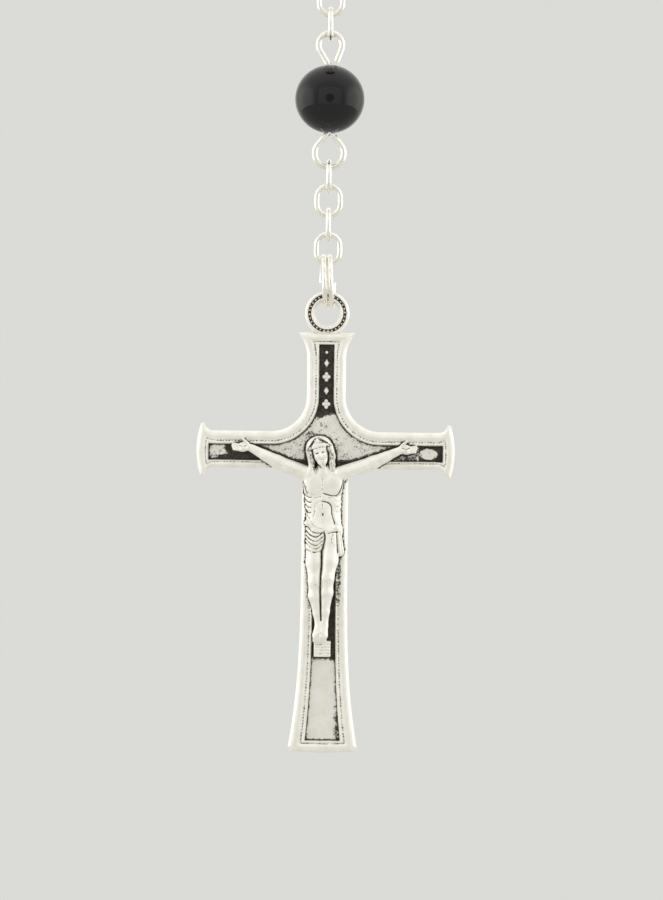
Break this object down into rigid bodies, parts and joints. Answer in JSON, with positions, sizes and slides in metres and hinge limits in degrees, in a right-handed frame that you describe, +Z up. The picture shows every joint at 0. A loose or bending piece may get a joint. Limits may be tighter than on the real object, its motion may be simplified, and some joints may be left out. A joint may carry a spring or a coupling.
{
  "type": "rosary",
  "caption": "Hanging rosary: black glass beads on wire-linked eye pins in decades, an oval centre medal, and a pendant chain with a split ring and a flared silver crucifix.",
  "frame": {"origin": "middle of the topmost link, where a hook or round support carries the loop", "axes": "+Z up, the front of the crucifix faces -Y, +X to the right as seen from the front"},
  "size_m": [0.0744, 0.008, 0.671],
  "materials": {
    "silver_wire": "polished silver plate, lightly antiqued",
    "antique_silver": "cast silver plate with dark oxide in the recesses",
    "black_glass": "polished opaque black glass"
  },
  "bodies": {
    "top_decade": {"decade_3_beads": "black_glass", "decade_3_pins": "silver_wire", "decade_3_links": "silver_wire"},
    "right_upper_strand": {"our_father_4_bead": "black_glass", "our_father_4_pin": "silver_wire", "our_father_4_links": "silver_wire", "decade_4_beads": "black_glass", "decade_4_pins": "silver_wire", "decade_4_links": "silver_wire"},
    "right_lower_strand": {"our_father_5_bead": "black_glass", "our_father_5_pin": "silver_wire", "our_father_5_links": "silver_wire", "decade_5_beads": "black_glass", "decade_5_pins": "silver_wire", "decade_5_links": "silver_wire", "right_medal_links": "silver_wire"},
    "left_upper_strand": {"our_father_3_bead": "black_glass", "our_father_3_pin": "silver_wire", "our_father_3_links": "silver_wire", "decade_2_beads": "black_glass", "decade_2_pins": "silver_wire", "decade_2_links": "silver_wire"},
    "left_lower_strand": {"our_father_2_bead": "black_glass", "our_father_2_pin": "silver_wire", "our_father_2_links": "silver_wire", "decade_1_beads": "black_glass", "decade_1_pins": "silver_wire", "decade_1_links": "silver_wire", "left_medal_links": "silver_wire"},
    "medal": {"centre_medal": "antique_silver"},
    "pendant_link_01": {"pendant_link_01": "silver_wire"},
    "pendant_link_02": {"pendant_link_02": "silver_wire"},
    "pendant_link_03": {"pendant_link_03": "silver_wire"},
    "pendant_pin_1": {"pendant_pin_1": "silver_wire"},
    "pendant_bead_1": {"pendant_bead_1": "black_glass"},
    "pendant_link_04": {"pendant_link_04": "silver_wire"},
    "pendant_link_05": {"pendant_link_05": "silver_wire"},
    "pendant_link_06": {"pendant_link_06": "silver_wire"},
    "pendant_pin_2": {"pendant_pin_2": "silver_wire"},
    "pendant_bead_2": {"pendant_bead_2": "black_glass"},
    "pendant_link_07": {"pendant_link_07": "silver_wire"},
    "pendant_pin_3": {"pendant_pin_3": "silver_wire"},
    "pendant_bead_3": {"pendant_bead_3": "black_glass"},
    "pendant_link_08": {"pendant_link_08": "silver_wire"},
    "pendant_pin_4": {"pendant_pin_4": "silver_wire"},
    "pendant_bead_4": {"pendant_bead_4": "black_glass"},
    "pendant_link_09": {"pendant_link_09": "silver_wire"},
    "pendant_link_10": {"pendant_link_10": "silver_wire"},
    "pendant_link_11": {"pendant_link_11": "silver_wire"},
    "pendant_pin_5": {"pendant_pin_5": "silver_wire"},
    "pendant_bead_5": {"pendant_bead_5": "black_glass"},
    "pendant_link_12": {"pendant_link_12": "silver_wire"},
    "pendant_link_13": {"pendant_link_13": "silver_wire"},
    "pendant_link_14": {"pendant_link_14": "silver_wire"},
    "pendant_link_15": {"pendant_link_15": "silver_wire"},
    "split_ring": {"split_ring": "silver_wire"},
    "crucifix": {"crucifix": "antique_silver", "corpus": "antique_silver"}
  },
  "joints": [
    {"name": "right_upper_swing", "type": "hinge", "parent": "top_decade", "child": "right_upper_strand", "pos_m": [0.03237, 0, -0.06728], "axis": [1, 0, 0], "range_deg": [-15, 15]},
    {"name": "right_lower_swing", "type": "hinge", "parent": "right_upper_strand", "child": "right_lower_strand", "pos_m": [0.02357, 0, -0.26975], "axis": [-1, 0, 0], "range_deg": [-15, 15]},
    {"name": "left_upper_swing", "type": "hinge", "parent": "top_decade", "child": "left_upper_strand", "pos_m": [-0.03237, 0, -0.06728], "axis": [1, 0, 0], "range_deg": [-15, 15]},
    {"name": "left_lower_swing", "type": "hinge", "parent": "left_upper_strand", "child": "left_lower_strand", "pos_m": [-0.02357, 0, -0.26975], "axis": [-1, 0, 0], "range_deg": [-15, 15]},
    {"name": "medal_swing", "type": "hinge", "parent": "left_lower_strand", "child": "medal", "pos_m": [-0.00624, 0, -0.47913], "axis": [-1, 0, 0], "range_deg": [-45, 45]},
    {"name": "pendant_link_01_swing", "type": "hinge", "parent": "medal", "child": "pendant_link_01", "pos_m": [0, 0, -0.49839], "axis": [1, 0, 0], "range_deg": [-45, 45]},
    {"name": "pendant_link_02_swing", "type": "hinge", "parent": "pendant_link_01", "child": "pendant_link_02", "pos_m": [0, 0, -0.50104], "axis": [0, -1, 0], "range_deg": [-45, 45]},
    {"name": "pendant_link_03_swing", "type": "hinge", "parent": "pendant_link_02", "child": "pendant_link_03", "pos_m": [0, 0, -0.5038], "axis": [-1, 0, 0], "range_deg": [-45, 45]},
    {"name": "pendant_pin_1_swing", "type": "hinge", "parent": "pendant_link_03", "child": "pendant_pin_1", "pos_m": [0, 0, -0.50657], "axis": [0, 1, 0], "range_deg": [-45, 45]},
    {"name": "pendant_bead_1_spin", "type": "hinge", "parent": "pendant_pin_1", "child": "pendant_bead_1", "pos_m": [0, 0, -0.51343], "axis": [0, 0, 1], "continuous": true},
    {"name": "pendant_link_04_swing", "type": "hinge", "parent": "pendant_pin_1", "child": "pendant_link_04", "pos_m": [0, 0, -0.52128], "axis": [1, 0, 0], "range_deg": [-45, 45]},
    {"name": "pendant_link_05_swing", "type": "hinge", "parent": "pendant_link_04", "child": "pendant_link_05", "pos_m": [0, 0, -0.52399], "axis": [0, -1, 0], "range_deg": [-45, 45]},
    {"name": "pendant_link_06_swing", "type": "hinge", "parent": "pendant_link_05", "child": "pendant_link_06", "pos_m": [0, 0, -0.52675], "axis": [-1, 0, 0], "range_deg": [-45, 45]},
    {"name": "pendant_pin_2_swing", "type": "hinge", "parent": "pendant_link_06", "child": "pendant_pin_2", "pos_m": [0, 0, -0.52951], "axis": [0, 1, 0], "range_deg": [-45, 45]},
    {"name": "pendant_bead_2_spin", "type": "hinge", "parent": "pendant_pin_2", "child": "pendant_bead_2", "pos_m": [0, 0, -0.53636], "axis": [0, 0, 1], "continuous": true},
    {"name": "pendant_link_07_swing", "type": "hinge", "parent": "pendant_pin_2", "child": "pendant_link_07", "pos_m": [0, 0, -0.54422], "axis": [-1, 0, 0], "range_deg": [-45, 45]},
    {"name": "pendant_pin_3_swing", "type": "hinge", "parent": "pendant_link_07", "child": "pendant_pin_3", "pos_m": [0, 0, -0.54692], "axis": [0, 1, 0], "range_deg": [-45, 45]},
    {"name": "pendant_bead_3_spin", "type": "hinge", "parent": "pendant_pin_3", "child": "pendant_bead_3", "pos_m": [0, 0, -0.55378], "axis": [0, 0, 1], "continuous": true},
    {"name": "pendant_link_08_swing", "type": "hinge", "parent": "pendant_pin_3", "child": "pendant_link_08", "pos_m": [0, 0, -0.56163], "axis": [1, 0, 0], "range_deg": [-45, 45]},
    {"name": "pendant_pin_4_swing", "type": "hinge", "parent": "pendant_link_08", "child": "pendant_pin_4", "pos_m": [0, 0, -0.56434], "axis": [0, -1, 0], "range_deg": [-45, 45]},
    {"name": "pendant_bead_4_spin", "type": "hinge", "parent": "pendant_pin_4", "child": "pendant_bead_4", "pos_m": [0, 0, -0.5712], "axis": [0, 0, 1], "continuous": true},
    {"name": "pendant_link_09_swing", "type": "hinge", "parent": "pendant_pin_4", "child": "pendant_link_09", "pos_m": [0, 0, -0.57905], "axis": [1, 0, 0], "range_deg": [-45, 45]},
    {"name": "pendant_link_10_swing", "type": "hinge", "parent": "pendant_link_09", "child": "pendant_link_10", "pos_m": [0, 0, -0.58176], "axis": [0, 1, 0], "range_deg": [-45, 45]},
    {"name": "pendant_link_11_swing", "type": "hinge", "parent": "pendant_link_10", "child": "pendant_link_11", "pos_m": [0, 0, -0.58452], "axis": [-1, 0, 0], "range_deg": [-45, 45]},
    {"name": "pendant_pin_5_swing", "type": "hinge", "parent": "pendant_link_11", "child": "pendant_pin_5", "pos_m": [0, 0, -0.58728], "axis": [0, -1, 0], "range_deg": [-45, 45]},
    {"name": "pendant_bead_5_spin", "type": "hinge", "parent": "pendant_pin_5", "child": "pendant_bead_5", "pos_m": [0, 0, -0.59415], "axis": [0, 0, 1], "continuous": true},
    {"name": "pendant_link_12_swing", "type": "hinge", "parent": "pendant_pin_5", "child": "pendant_link_12", "pos_m": [0, 0, -0.60199], "axis": [1, 0, 0], "range_deg": [-45, 45]},
    {"name": "pendant_link_13_swing", "type": "hinge", "parent": "pendant_link_12", "child": "pendant_link_13", "pos_m": [0, 0, -0.60471], "axis": [0, -1, 0], "range_deg": [-45, 45]},
    {"name": "pendant_link_14_swing", "type": "hinge", "parent": "pendant_link_13", "child": "pendant_link_14", "pos_m": [0, 0, -0.60747], "axis": [1, 0, 0], "range_deg": [-45, 45]},
    {"name": "pendant_link_15_swing", "type": "hinge", "parent": "pendant_link_14", "child": "pendant_link_15", "pos_m": [0, 0, -0.61023], "axis": [0, 1, 0], "range_deg": [-45, 45]},
    {"name": "split_ring_swing", "type": "hinge", "parent": "pendant_link_15", "child": "split_ring", "pos_m": [0, 0, -0.61299], "axis": [-1, 0, 0], "range_deg": [-45, 45]},
    {"name": "crucifix_swing", "type": "hinge", "parent": "split_ring", "child": "crucifix", "pos_m": [0, 0, -0.6179], "axis": [0, 1, 0], "range_deg": [-35, 35]}
  ],
  "couplings": [
    {"joint": "left_upper_swing", "follows": "right_upper_swing", "ratio": 1},
    {"joint": "left_lower_swing", "follows": "right_lower_swing", "ratio": 1}
  ]
}
